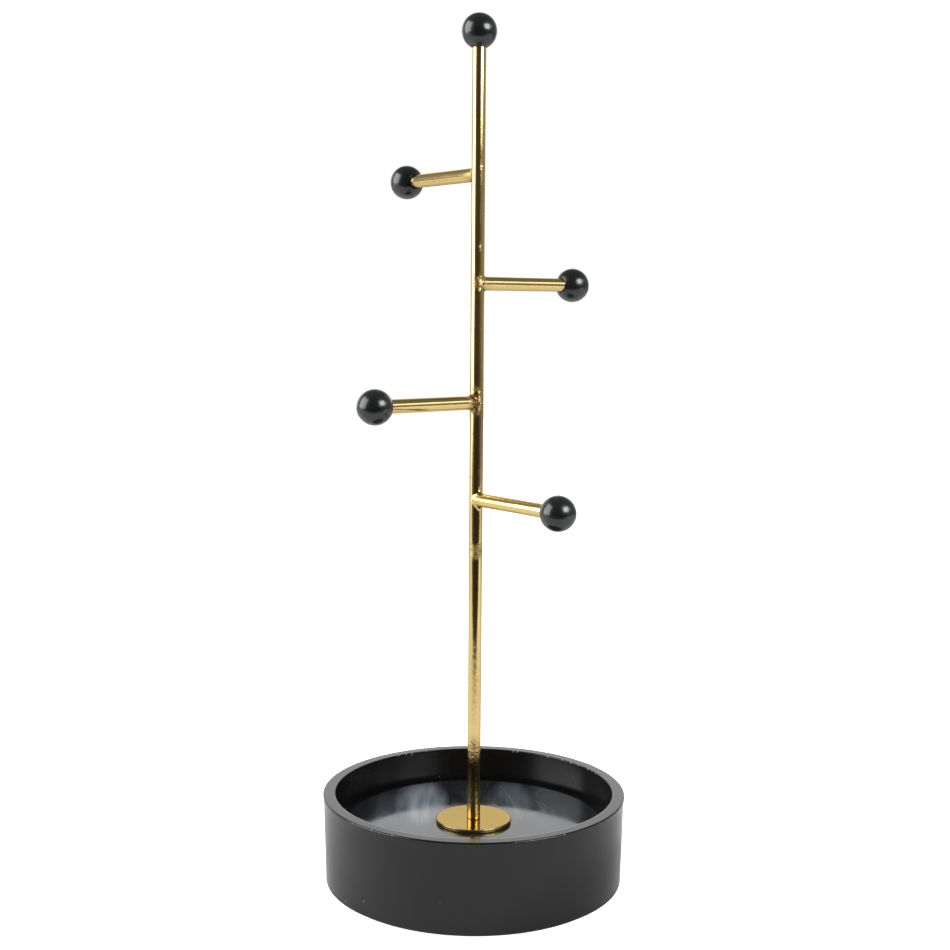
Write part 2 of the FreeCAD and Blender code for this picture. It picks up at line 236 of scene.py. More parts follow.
class StandStage(bpy.types.PropertyGroup):
    """Camera, floor and light round the stand."""

    camera_place: FloatVectorProperty(
        name="Camera place", description="Where the camera stands", size=3, subtype="TRANSLATION",
        unit="LENGTH", default=(-0.4421 * MM, -578.4653 * MM, 229.3797 * MM))
    camera_pitch: turn("Camera pitch", "How far the camera looks down", 6.454)
    camera_roll: turn("Camera roll", "How far the camera leans", 0.426)
    focal_length: FloatProperty(
        name="Focal length", description="Lens of the camera, in millimetres on a 36 mm frame",
        default=56.214, unit="CAMERA")
    floor_reach: length("Floor reach", "Stand to the sides and back of the floor", 2.5)
    floor_front: length("Floor front", "Stand to the front edge of the floor", 0.345)
    floor_white: amount("Floor white", "How pale the floor is", 0.80)
    backdrop: brightness("Backdrop", "Brightness behind the stand", 1.45)
    left_softbox: brightness("Left softbox", "Brightness of the softbox at the left", 5.4)
    left_wash: brightness("Left wash", "Brightness of the lamp that lights the floor at the left", 22.0)
    right_softbox: brightness("Right softbox", "Brightness of the softbox at the right", 13.0)
    right_window: brightness("Right window", "Brightness of the window far to the right", 2.0)


# Modelling by hand


def activate(piece):
    """Selects one piece alone."""
    bpy.ops.object.select_all(action="DESELECT")
    piece.select_set(True)
    bpy.context.view_layer.objects.active = piece


@contextmanager
def editing(piece):
    """Edit mode on one piece."""
    activate(piece)
    bpy.ops.object.mode_set(mode="EDIT")
    yield
    bpy.ops.object.mode_set(mode="OBJECT")


def name_piece(name):
    """Names the primitive that was just added and puts its place into its mesh."""
    piece = bpy.context.active_object
    piece.name = name
    piece.data.name = name
    bpy.ops.object.transform_apply(location=True, rotation=True, scale=True)
    return piece


def add_upright(name, radius, low, high, sides):
    """A cylinder on the stem's axis between two heights."""
    bpy.ops.object.select_all(action="DESELECT")
    bpy.ops.mesh.primitive_cylinder_add(
        vertices=sides, radius=radius, depth=high - low, location=(0, 0, (low + high) / 2))
    return name_piece(name)


def add_lying(name, radius, start, end, sides):
    """A cylinder along the X axis between two places."""
    bpy.ops.object.select_all(action="DESELECT")
    bpy.ops.mesh.primitive_cylinder_add(
        vertices=sides, radius=radius, depth=end - start, location=((start + end) / 2, 0, 0),
        rotation=(0, math.pi / 2, 0))
    return name_piece(name)


def choose(piece, kind, test):
    """In edit mode, selects only the verts, edges or faces that pass a test."""
    modes = {"verts": "VERT", "edges": "EDGE", "faces": "FACE"}
    bpy.ops.mesh.select_mode(type=modes[kind])
    bpy.ops.mesh.select_all(action="DESELECT")
    mesh = bmesh.from_edit_mesh(piece.data)
    for item in getattr(mesh, kind):
        if test(item):
            item.select_set(True)
    mesh.select_flush_mode()
    bmesh.update_edit_mesh(piece.data)


def near(first, second):
    return abs(first - second) < SAME_PLACE


def on_ring(radius, height):
    """Test for edges that lie on a ring round the stem's axis."""
    return lambda edge: all(
        near(vert.co.xy.length, radius) and near(vert.co.z, height) for vert in edge.verts)


def is_cap(height):
    """Test for the face that closes a turned piece at a height."""
    def test(face):
        centre = face.calc_center_median()
        return near(centre.z, height) and near(centre.xy.length, 0) and abs(face.normal.z) > 0.9
    return test


def sink_cap(piece, height, step, travel=0.0):
    """Insets the cap at a height by a step, then pushes it in or out."""
    choose(piece, "faces", is_cap(height))
    bpy.ops.mesh.inset(thickness=step)
    if travel:
        bpy.ops.mesh.extrude_region_move(TRANSFORM_OT_translate={"value": (0, 0, travel)})


def bore_through(piece, low, high):
    """Joins the caps at two heights by a hole."""
    choose(piece, "faces", lambda face: is_cap(low)(face) or is_cap(high)(face))
    bpy.ops.mesh.bridge_edge_loops()


def round_rings(piece, rings, width, segments=3):
    """Rounds the edges on rings of given radius and height."""
    choose(piece, "edges", lambda edge: any(on_ring(*ring)(edge) for ring in rings))
    bpy.ops.mesh.bevel(offset=width, segments=segments, affect="EDGES")


def divide_along(piece, axis, cuts, low=-math.inf, high=math.inf):
    """Cuts the edges that run along an axis, between two places, into equal pieces."""
    def test(edge):
        run = edge.verts[1].co - edge.verts[0].co
        place = (edge.verts[0].co[axis] + edge.verts[1].co[axis]) / 2
        return abs(run[axis]) > 0.99 * run.length and low < place < high
    choose(piece, "edges", test)
    bpy.ops.mesh.subdivide(number_cuts=cuts)


def cut_across(height):
    """In edit mode, cuts a ring into the mesh at a height."""
    bpy.ops.mesh.select_all(action="SELECT")
    bpy.ops.mesh.bisect(plane_co=(0, 0, height), plane_no=(0, 0, 1))


def drill_plate(piece, node, hole):
    """In edit mode, makes a hole on the stem's axis through a round plate as thick as its CAD node."""
    low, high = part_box(node)
    rim = span(node).x / 2
    sink_cap(piece, high.z, rim - hole)
    sink_cap(piece, low.z, rim - hole)
    bore_through(piece, low.z, high.z)


def cut_away(piece, cutter):
    """Takes one piece out of another and removes the cutter."""
    activate(piece)
    bpy.ops.object.modifier_add(type="BOOLEAN")
    modifier = piece.modifiers[-1]
    modifier.operation = "DIFFERENCE"
    modifier.solver = "EXACT"
    modifier.object = cutter
    bpy.ops.object.modifier_apply(modifier=modifier.name)
    bpy.data.objects.remove(cutter)


def ripple(piece, name, size, height, group=""):
    """Makes a surface uneven: lumps of a given size and height, where a vertex group has weight."""
    texture = bpy.data.textures.new(name, "CLOUDS")
    texture.noise_scale = size
    texture.noise_depth = 1
    activate(piece)
    bpy.ops.object.modifier_add(type="DISPLACE")
    modifier = piece.modifiers[-1]
    modifier.texture = texture
    modifier.texture_coords = "LOCAL"
    modifier.strength = height
    modifier.vertex_group = group
    bpy.ops.object.modifier_apply(modifier=modifier.name)


def mark(piece, name, weigh):
    """Gives every point of a piece a weight: a vertex group for its shape, an attribute for its finish."""
    weights = [weigh(vert.co) for vert in piece.data.vertices]
    group = piece.vertex_groups.new(name=f"{name}_shape")
    for index, weight in enumerate(weights):
        group.add([index], weight, "REPLACE")
    attribute = piece.data.attributes.new(name, "FLOAT", "POINT")
    attribute.data.foreach_set("value", weights)
    return group.name


def settle(piece, slot, node, finish=""):
    """Closes a piece's mesh, shades and finishes it, and puts it in the place of its CAD node."""
    with editing(piece):
        bpy.ops.mesh.select_all(action="SELECT")
        bpy.ops.mesh.remove_doubles(threshold=SAME_PLACE / 10)
        bpy.ops.mesh.normals_make_consistent(inside=False)
    bpy.ops.object.shade_smooth_by_angle(angle=SMOOTH_ANGLE)
    bpy.ops.object.modifier_add(type="WEIGHTED_NORMAL")
    piece.modifiers[-1].keep_sharp = True
    bpy.ops.object.modifier_apply(modifier=piece.modifiers[-1].name)
    piece.data.materials.clear()
    piece.data.materials.append(finish_for(finish or slot))
    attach(piece, BODY)
    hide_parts(node)


def place_copies(model, base_name, places):
    """Copies of a model, each with its own mesh, moved to its place; the model itself is removed."""
    copies = {}
    for name, matrix in places.items():
        activate(model)
        bpy.ops.object.duplicate(linked=False)
        copy = bpy.context.active_object
        copy.matrix_world = matrix
        copies[name] = name_piece(f"{base_name}_{name}")
    bpy.data.objects.remove(model)
    return copies


def arm_places():
    """Where each arm leaves the stem, as a matrix that takes +X along the arm."""
    places = {}
    for arm in ARMS:
        ball = middle(f"ball_{arm}")
        azimuth = math.atan2(ball.y, ball.x)
        places[arm] = Matrix.Translation((0, 0, ball.z)) @ Matrix.Rotation(azimuth, 4, "Z")
    return places


def fade(distance):
    """1 at no distance, falling smoothly to 0 at a distance of 1."""
    rest = max(0.0, 1.0 - distance * distance)
    return rest * rest


def rough_and_shade_at(place, radius):
    """Strength of the rough plating, and of the painted shade low on the stem, at a point on the stem or on
    what is brazed to it.
    """
    azimuth = math.atan2(place.y, place.x)
    weight = 0.0
    for height, half_height, half_width, direction, strength in ROUGH_AND_SHADED_SPOTS:
        up = (place.z - height * MM) / (half_height * MM)
        round_stem = math.remainder(azimuth - math.radians(direction), math.tau) * radius
        weight += strength * fade(math.hypot(up, round_stem / (half_width * MM)))
    return weight


# Shader nodes


def add_node(tree, kind, inputs=None, **settings):
    """A node with its settings made, and its inputs set to a value or linked to a socket."""
    node = tree.nodes.new(f"ShaderNode{kind}")
    for name, value in settings.items():
        setattr(node, name, value)
    for name, value in (inputs or {}).items():
        if isinstance(value, bpy.types.NodeSocket):
            tree.links.new(value, node.inputs[name])
        else:
            node.inputs[name].default_value = value
    return node


def math_node(tree, operation, first, second=0.0, clamp=False):
    """The result of a sum on values or sockets."""
    return add_node(tree, "Math", {0: first, 1: second}, operation=operation, use_clamp=clamp).outputs[0]


def fit(tree, value, low, high, start=0.0, end=1.0):
    """A value between low and high brought smoothly to between start and end."""
    inputs = {"Value": value, "From Min": low, "From Max": high, "To Min": start, "To Max": end}
    return add_node(tree, "MapRange", inputs, interpolation_type="SMOOTHSTEP").outputs["Result"]


def fit_straight(tree, value, low, high):
    """A value between low and high brought to between 0 and 1."""
    inputs = {"Value": value, "From Min": low, "From Max": high}
    return add_node(tree, "MapRange", inputs).outputs["Result"]


def blend_colours(tree, share, first, second):
    """Two colours mixed by a share of the second."""
    return add_node(tree, "Mix", {0: share, 6: first, 7: second}, data_type="RGBA").outputs[2]


def vector_node(tree, operation, first, second=(0, 0, 0), result=0):
    """The result of a sum on vectors or sockets."""
    return add_node(tree, "VectorMath", {0: first, 1: second}, operation=operation).outputs[result]


def solid(colour):
    return (*colour, 1.0)


def start_group(name, inputs, outputs):
    """An empty node group with number sockets."""
    group = bpy.data.node_groups.new(name, "ShaderNodeTree")
    for label, value in inputs.items():
        socket = group.interface.new_socket(label, in_out="INPUT", socket_type="NodeSocketFloat")
        socket.default_value = value
    for label in outputs:
        group.interface.new_socket(label, in_out="OUTPUT", socket_type="NodeSocketFloat")
    return group, group.nodes.new("NodeGroupInput").outputs, group.nodes.new("NodeGroupOutput").inputs


def object_place(tree):
    return add_node(tree, "TexCoord").outputs["Object"]


def stem_distance(tree):
    """How far a point is from the stem's axis."""
    flat = vector_node(tree, "MULTIPLY", object_place(tree), (1, 1, 0))
    return vector_node(tree, "LENGTH", flat, result="Value")


def speckle_group():
    """Round specks or pits scattered over a surface."""
    group, given, result = start_group("speckle", {"Scale": 100.0, "Size": 0.2, "Share": 0.1}, ["Mask"])
    cells = add_node(group, "TexVoronoi", {"Vector": object_place(group), "Scale": given["Scale"]})
    chance = add_node(group, "SeparateColor", {"Color": cells.outputs["Color"]})
    kept = math_node(group, "LESS_THAN", chance.outputs["Red"], given["Share"])
    size = math_node(group, "MULTIPLY", fit(group, chance.outputs["Green"], 0, 1, 0.35, 1), given["Size"])
    spot = fit(group, math_node(group, "DIVIDE", cells.outputs["Distance"], size), 1.0, 0.5)
    group.links.new(math_node(group, "MULTIPLY", kept, spot), result["Mask"])
    return group


def mottle_group():
    """Soft clouds, cut between two levels of noise."""
    inputs = {"Scale": 100.0, "Detail": 2.0, "Warp": 0.0, "Stretch": 1.0, "Low": 0.3, "High": 0.7}
    group, given, result = start_group("mottle", inputs, ["Value"])
    axes = add_node(group, "CombineXYZ", {"X": given["Stretch"], "Y": 1.0, "Z": 1.0}).outputs[0]
    place = vector_node(group, "MULTIPLY", object_place(group), axes)
    noise = add_node(group, "TexNoise", {
        "Vector": place, "Scale": given["Scale"], "Detail": given["Detail"], "Distortion": given["Warp"]})
    group.links.new(fit(group, noise.outputs["Fac"], given["Low"], given["High"]), result["Value"])
    return group


def edge_wear_group():
    """Wear along an edge that runs round the stem's axis at a radius and a height."""
    inputs = {"Radius": 0.05, "Height": 0.03, "Reach": 0.001, "Scale": 400.0, "Share": 0.5}
    group, given, result = start_group("edge_wear", inputs, ["Mask"])
    place = object_place(group)
    height = add_node(group, "SeparateXYZ", {0: place}).outputs["Z"]
    across = math_node(group, "SUBTRACT", stem_distance(group), given["Radius"])
    up = math_node(group, "SUBTRACT", height, given["Height"])
    apart = math_node(group, "SQRT", math_node(
        group, "ADD", math_node(group, "MULTIPLY", across, across), math_node(group, "MULTIPLY", up, up)))
    close = fit(group, math_node(group, "DIVIDE", apart, given["Reach"]), 1.0, 0.0)
    noise = add_node(group, "TexNoise", {"Vector": place, "Scale": given["Scale"], "Detail": 3.0})
    uneven = math_node(group, "MULTIPLY", close, noise.outputs["Fac"])
    worn = math_node(group, "ADD", uneven, given["Share"])
    group.links.new(fit(group, worn, 0.95, 1.05), result["Mask"])
    return group


def smear_group():
    """A soft patch round a place on a level surface."""
    inputs = {"X": 0.0, "Y": 0.0, "Reach X": 0.01, "Reach Y": 0.01}
    group, given, result = start_group("smear", inputs, ["Mask"])
    place = add_node(group, "SeparateXYZ", {0: object_place(group)}).outputs
    parts = []
    for axis in ("X", "Y"):
        offset = math_node(group, "SUBTRACT", place[axis], given[axis])
        share = math_node(group, "DIVIDE", offset, given[f"Reach {axis}"])
        parts.append(math_node(group, "MULTIPLY", share, share))
    group.links.new(fit(group, math_node(group, "ADD", *parts), 1.0, 0.0), result["Mask"])
    return group


def scratch_group():
    """A thin straight scratch between two places on a level surface."""
    inputs = {"X1": 0.0, "Y1": 0.0, "X2": 0.01, "Y2": 0.01, "Width": 0.0002}
    group, given, result = start_group("scratch", inputs, ["Mask"])
    flat = vector_node(group, "MULTIPLY", object_place(group), (1, 1, 0))
    start = add_node(group, "CombineXYZ", {"X": given["X1"], "Y": given["Y1"]}).outputs[0]
    end = add_node(group, "CombineXYZ", {"X": given["X2"], "Y": given["Y2"]}).outputs[0]
    run = vector_node(group, "SUBTRACT", end, start)
    away = vector_node(group, "SUBTRACT", flat, start)
    along = math_node(
        group, "DIVIDE",
        vector_node(group, "DOT_PRODUCT", away, run, "Value"),
        vector_node(group, "DOT_PRODUCT", run, run, "Value"), clamp=True)
    foot = add_node(group, "VectorMath", {0: run, "Scale": along}, operation="SCALE").outputs[0]
    apart = vector_node(group, "DISTANCE", away, foot, "Value")
    group.links.new(fit(group, math_node(group, "DIVIDE", apart, given["Width"]), 1.0, 0.2), result["Mask"])
    return group


GROUP_MAKERS = {
    "speckle": speckle_group,
    "mottle": mottle_group,
    "edge_wear": edge_wear_group,
    "smear": smear_group,
    "scratch": scratch_group,
}


def effect(tree, name, **inputs):
    """The first output of a shared effect, placed with its own values."""
    group = bpy.data.node_groups.get(name) or GROUP_MAKERS[name]()
    node = tree.nodes.new("ShaderNodeGroup")
    node.node_tree = group
    for label, value in inputs.items():
        node.inputs[label.replace("_", " ")].default_value = value
    return node.outputs[0]


def mottle(tree, scale, detail=2.0, low=0.2, high=0.8, **others):
    return effect(tree, "mottle", Scale=scale, Detail=detail, Low=low, High=high, **others)


def speckle(tree, scale, size, share):
    return effect(tree, "speckle", Scale=scale, Size=size, Share=share)


def start_finish(name):
    """A new material, with its node tree and its shader."""
    finish = bpy.data.materials.new(name)
    finish.use_nodes = True
    return finish, finish.node_tree, finish.node_tree.nodes["Principled BSDF"]


def weighted_sum(tree, *terms):
    """The sum of sockets times their weights."""
    total = 0.0
    for socket, weight in terms:
        total = math_node(tree, "ADD", math_node(tree, "MULTIPLY", socket, weight), total)
    return total


def dress(tree, shader, colour, roughness, *bumps):
    """Links a finish's colour and roughness, and bump from sockets with their heights in millimetres."""
    tree.links.new(colour, shader.inputs["Base Color"])
    tree.links.new(roughness, shader.inputs["Roughness"])
    bump = add_node(tree, "Bump", {"Height": weighted_sum(tree, *bumps), "Distance": MM, "Strength": 1.0})
    tree.links.new(bump.outputs["Normal"], shader.inputs["Normal"])


def gold_finish(finishes, name="gold_plating", gold=None):
    """Bright gold plating with a fine orange peel, pits, rough brown plating over the braze, and painted
    shade low on the stem and over the flange's edge.
    """
    finish, tree, shader = start_finish(name)
    # The rough plating mark also carries painted shade: it darkens the stem's lower part and the flange's
    # edge towards tarnish.
    strength = add_node(tree, "Attribute", attribute_name="rough_plating").outputs["Fac"]
    rough = math_node(tree, "MINIMUM", strength, 1.0)
    peel = mottle(tree, 190.0)
    lumps = mottle(tree, 1300.0, 2.0, 0.42, 0.62)
    pits = speckle(tree, 520.0, 0.22, 0.05)
    cloud = mottle(tree, 90.0, 3.0, 0.35, 0.7)
    brown = math_node(tree, "MULTIPLY", rough, lumps)
    dark = weighted_sum(tree, (brown, 0.5), (rough, 0.4), (pits, 0.30), (cloud, 0.04))
    plated = blend_colours(tree, dark, solid(gold or finishes.gold), solid(finishes.tarnish_and_shade))
    burnt = math_node(tree, "MULTIPLY", fit(tree, strength, 0.9, 1.7), fit(tree, lumps, 0.0, 0.5, 0.45, 0.95))
    colour = blend_colours(tree, burnt, plated, solid(finishes.scorch))
    dull = weighted_sum(tree, (rough, 0.3), (brown, 0.15), (pits, 0.2), (cloud, 0.03))
    roughness = math_node(tree, "ADD", dull, finishes.gold_roughness)
    shader.inputs["Metallic"].default_value = 1.0
    shader.inputs["Specular Tint"].default_value = solid(finishes.limb)
    dress(tree, shader, colour, roughness, (peel, 0.006), (brown, 0.02), (pits, -0.004))
    return finish


def sheet_finish(finishes):
    """The flange's gold plating, duller than the rods'."""
    return gold_finish(finishes, "gold_sheet_plating", finishes.sheet)


def paint_finish(finishes):
    """Satin black paint with dust, and chips along the rim's edges."""
    finish, tree, shader = start_finish("satin_black_paint")
    rim = span("tray").x / 2
    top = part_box("tray")[1].z
    recess = rim - bpy.context.scene.stand_sizes.tray_wall
    chipped = add_node(tree, "Attribute", attribute_name="chipped").outputs["Fac"]
    broken = mottle(tree, 1500.0, 3.0)
    inner = effect(tree, "edge_wear", Radius=recess, Height=top, Reach=0.7 * MM, Scale=320.0, Share=0.36)
    outer = effect(tree, "edge_wear", Radius=rim, Height=top, Reach=0.9 * MM, Scale=260.0, Share=0.30)
    specks = speckle(tree, 120.0, 0.065, 0.16)
    lint = speckle(tree, 330.0, 0.13, 0.03)
    shade = mottle(tree, 35.0, 3.0, 0.3, 0.7)
    grain = mottle(tree, 1400.0)
    peel = mottle(tree, 260.0, 1.0)
    ragged = fit(tree, math_node(tree, "ADD", chipped, broken), 0.98, 1.06)
    chips = math_node(tree, "MULTIPLY", ragged, math_node(tree, "GREATER_THAN", chipped, 0.05))
    worn = weighted_sum(tree, (chips, 0.9), (inner, 0.25), (outer, 0.12))
    dusty = weighted_sum(tree, (specks, 0.5), (lint, 0.35), (shade, 0.008))
    painted = blend_colours(tree, dusty, solid(finishes.paint), solid(finishes.dust))
    colour = blend_colours(tree, worn, painted, solid(finishes.bare))
    inside = fit(tree, stem_distance(tree), recess + 0.2 * MM, recess + 0.1 * MM)
    dull = weighted_sum(tree, (shade, 0.03), (grain, 0.02), (worn, 0.2), (specks, 0.2), (inside, 0.06))
    roughness = math_node(tree, "ADD", dull, finishes.paint_roughness)
    shader.inputs["IOR"].default_value = 1.42
    dress(tree, shader, colour, roughness, (grain, 0.0005), (peel, 0.002), (specks, 0.04), (chips, -0.05))
    return finish


def smear(tree, x, y, reach_x, reach_y):
    """A soft patch on the disc, with its place and reach in millimetres."""
    return effect(tree, "smear", X=x * MM, Y=y * MM, Reach_X=reach_x * MM, Reach_Y=reach_y * MM)


def strands(tree, degrees, across, along):
    """Noise drawn out into strands: their direction, and how close they lie across it and along it."""
    place = add_node(tree, "Mapping", {
        "Vector": object_place(tree), "Rotation": (0, 0, math.radians(degrees)),
        "Scale": (across, along, 1.0)}).outputs[0]
    return add_node(tree, "TexNoise", {"Vector": place, "Scale": 1.0, "Detail": 2.0}).outputs["Fac"]


def gloss_finish(finishes):
    """Polished black sheet under a blue film, with smears, painted highlight streaks, fine scratches and
    dust.
    """
    finish, tree, shader = start_finish("gloss_black_sheet")
    film = mottle(tree, 55.0, 4.0, 0.38, 0.66, Stretch=2.2, Warp=0.5)
    wisps = mottle(tree, 150.0, 3.0, 0.3, 0.76, Stretch=1.7, Warp=0.4)
    # smears holds both the smears and the painted highlight streaks on the disc.
    smears = weighted_sum(tree, *((smear(tree, *patch), weight) for *patch, weight in DISC_SMEARS_AND_HIGHLIGHTS))
    scores = weighted_sum(tree, *(
        (effect(tree, "scratch", X1=x1 * MM, Y1=y1 * MM, X2=x2 * MM, Y2=y2 * MM), weight)
        for x1, y1, x2, y2, weight in DISC_SCRATCHES))
    scratched = weighted_sum(tree, *((smear(tree, *patch), 1.0) for patch in FINE_SCRATCHES))
    fine = math_node(tree, "MULTIPLY", fit(tree, strands(tree, 28, 900.0, 40.0), 0.60, 0.72), scratched)
    scratches = weighted_sum(tree, (scores, 0.8), (fine, 0.3))
    specks = speckle(tree, 180.0, 0.10, 0.06)
    peel = mottle(tree, 140.0)
    clouds = math_node(tree, "MULTIPLY", film, fit(tree, wisps, 0.0, 1.0, 0.35, 1.0))
    streaks = weighted_sum(tree, (film, 0.55), (wisps, 0.45))
    # Smears and painted highlight streaks, drawn out into strands.
    wiped_and_highlights = math_node(tree, "MULTIPLY", smears, fit(tree, strands(tree, 4, 190.0, 22.0), 0.3, 0.7, 0.45, 1.2))
    # The haze colour paints the film, the scratches, the smears and the painted highlight streaks.
    haze_and_highlights = weighted_sum(tree, (clouds, 0.045), (wiped_and_highlights, 1.0), (scratches, 0.38))
    filmed = blend_colours(tree, haze_and_highlights, solid(finishes.gloss), solid(finishes.haze_and_highlights))
    colour = blend_colours(tree, specks, filmed, solid(finishes.dust))
    dull = weighted_sum(
        tree, (streaks, 0.08), (wiped_and_highlights, 0.06), (scratches, 0.1), (smear(tree, *DULL_FRONT), 0.13))
    roughness = math_node(tree, "ADD", dull, finishes.gloss_roughness)
    shader.inputs["IOR"].default_value = 1.6
    dress(tree, shader, colour, roughness, (peel, 0.004), (scratches, -0.003), (specks, 0.03))
    return finish


def ball_finish(finishes):
    """Satin black of the balls, with a faint cloud and a fine grain."""
    finish, tree, shader = start_finish("satin_black_ball")
    cloud = mottle(tree, 160.0, 3.0, 0.3, 0.7)
    specks = speckle(tree, 420.0, 0.10, 0.03)
    grain = mottle(tree, 2600.0, 1.0)
    dusty = weighted_sum(tree, (cloud, 0.02), (specks, 0.25))
    colour = blend_colours(tree, dusty, solid(finishes.ball), solid(finishes.dust))
    dull = weighted_sum(tree, (cloud, 0.04), (specks, 0.1))
    roughness = math_node(tree, "ADD", dull, finishes.ball_roughness)
    shader.inputs["IOR"].default_value = 1.55
    dress(tree, shader, colour, roughness, (grain, 0.0006))
    return finish


def pad_finish(finishes):
    """Black foam rubber with open pores."""
    finish, tree, shader = start_finish("black_foam")
    pores = speckle(tree, 1400.0, 0.5, 0.6)
    cloud = mottle(tree, 220.0, 3.0, 0.3, 0.7)
    pale = math_node(tree, "MULTIPLY", cloud, 0.06)
    colour = blend_colours(tree, pale, solid(finishes.pad), solid(finishes.dust))
    roughness = fit(tree, cloud, 0.0, 1.0, 0.8, 0.95)
    dress(tree, shader, colour, roughness, (pores, -0.12), (cloud, 0.05))
    return finish


def zinc_finish(finishes):
    """Dull zinc plating on the fixing."""
    finish, tree, shader = start_finish("zinc_plating")
    spangle = mottle(tree, 500.0, 3.0, 0.35, 0.65)
    pits = speckle(tree, 900.0, 0.3, 0.2)
    dark = weighted_sum(tree, (spangle, 0.18), (pits, 0.3))
    colour = blend_colours(tree, dark, solid(finishes.zinc), solid(finishes.paint))
    roughness = fit(tree, spangle, 0.0, 1.0, 0.28, 0.45)
    shader.inputs["Metallic"].default_value = 1.0
    dress(tree, shader, colour, roughness, (spangle, 0.01), (pits, -0.01))
    return finish


FINISH_MAKERS = {
    "gold_plate": gold_finish,
    "gold_sheet": sheet_finish,
    "black_lacquer": paint_finish,
    "gloss_black": gloss_finish,
    "ball_black": ball_finish,
    "pad_black": pad_finish,
    "zinc_steel": zinc_finish,
}
made_finishes = {}


def finish_for(slot):
    """The material of one of the record's slots, made when it is first wanted."""
    if slot not in made_finishes:
        made_finishes[slot] = FINISH_MAKERS[slot](bpy.context.scene.stand_finishes)
    return made_finishes[slot]


# Pieces


class STAND_OT_tray(bpy.types.Operator):
    """Turn the tray with its recess, chip its rim and paint it satin black"""
    bl_idname = "stand.tray"
    bl_label = "Tray"

    chip_depth = 0.25 * MM
    chip_half_width = math.radians(1.1)
    guard = 0.6 * MM
    flare_rings = 5

    def chip_weight(self, place, recess, rim, top):
        """How far a point of the rim belongs to a chip."""
        azimuth = math.atan2(place.y, place.x)
        weight = 0.0
        for radius, chips in ((recess, INNER_CHIPS), (rim, OUTER_CHIPS)):
            apart = math.hypot(place.xy.length - radius, place.z - top) / self.guard
            for chip in chips:
                turned = math.remainder(azimuth - math.radians(chip), math.tau) / self.chip_half_width
                weight = max(weight, fade(math.hypot(apart, turned)))
        return weight

    def shape_side(self, tray, rim, foot, low, high, sizes):
        """Draws the side in towards the foot, and lets it stand out softly under the rim."""
        waist = rim - sizes.rim_flare
        rings = {low: foot}
        for ring in range(self.flare_rings):
            share = ring / self.flare_rings
            rings[high - sizes.flare_depth * (1 - share)] = waist + sizes.rim_flare * share ** 2
        for height in rings:
            if height > low:
                cut_across(height)
        for height, radius in rings.items():
            choose(tray, "verts", lambda vert: near(vert.co.z, height))
            bpy.ops.transform.resize(value=(radius / rim, radius / rim, 1), center_override=(0, 0, height))

    def execute(self, context):
        sizes = context.scene.stand_sizes
        low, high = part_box("tray")
        rim = span("tray").x / 2
        foot = rim - sizes.side_inset
        recess = rim - sizes.tray_wall
        floor = high.z - sizes.recess_depth
        pocket = low.z + sizes.pocket_depth
        tray = add_upright("painted_tray", rim, low.z, high.z, TRAY_SIDES)
        with editing(tray):
            self.shape_side(tray, rim, foot, low.z, high.z, sizes)
            sink_cap(tray, high.z, self.guard * 1.5)
            sink_cap(tray, high.z, sizes.tray_wall - self.guard * 3)
            sink_cap(tray, high.z, self.guard * 1.5, -sizes.recess_depth)
            sink_cap(tray, low.z, foot - sizes.pocket_radius, sizes.pocket_depth)
            sink_cap(tray, floor, recess - sizes.tray_hole)
            sink_cap(tray, pocket, sizes.pocket_radius - sizes.tray_hole)
            bore_through(tray, pocket, floor)
            divide_along(tray, 2, 3, low.z, high.z)
            cut_across(high.z - self.guard * 1.5)
            round_rings(tray, [(rim, high.z)], sizes.rim_edge, 4)
            round_rings(tray, [(foot, low.z)], sizes.foot_edge)
            round_rings(tray, [(recess, high.z)], sizes.inner_edge, 2)
        chipped = mark(tray, "chipped", lambda place: self.chip_weight(place, recess, rim, high.z))
        ripple(tray, "chips", 1.2 * MM, -self.chip_depth, chipped)
        settle(tray, "black_lacquer", "tray")
        return {"FINISHED"}


class STAND_OT_pad(bpy.types.Operator):
    """Model the foam pad that the tray stands on"""
    bl_idname = "stand.pad"
    bl_label = "Base pad"

    def execute(self, context):
        sizes = context.scene.stand_sizes
        low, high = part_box("base_pad")
        radius = span("base_pad").x / 2
        pad = add_upright("foam_pad", radius, low.z, high.z, DISC_SIDES)
        with editing(pad):
            sink_cap(pad, low.z, radius / 3)
            sink_cap(pad, low.z, radius / 3)
            sink_cap(pad, high.z, radius / 2)
            round_rings(pad, [(radius, low.z), (radius, high.z)], sizes.pad_edge)
        settle(pad, "pad_black", "base_pad")
        return {"FINISHED"}


class STAND_OT_disc(bpy.types.Operator):
    """Model the polished black disc on the floor of the tray"""
    bl_idname = "stand.disc"
    bl_label = "Floor disc"

    def execute(self, context):
        sizes = context.scene.stand_sizes
        low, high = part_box("floor_disc")
        radius = span("floor_disc").x / 2
        disc = add_upright("gloss_disc", radius, low.z, high.z, DISC_SIDES)
        with editing(disc):
            drill_plate(disc, "floor_disc", sizes.tail_hole)
            round_rings(disc, [(radius, high.z)], sizes.disc_edge)
        settle(disc, "gloss_black", "floor_disc")
        return {"FINISHED"}


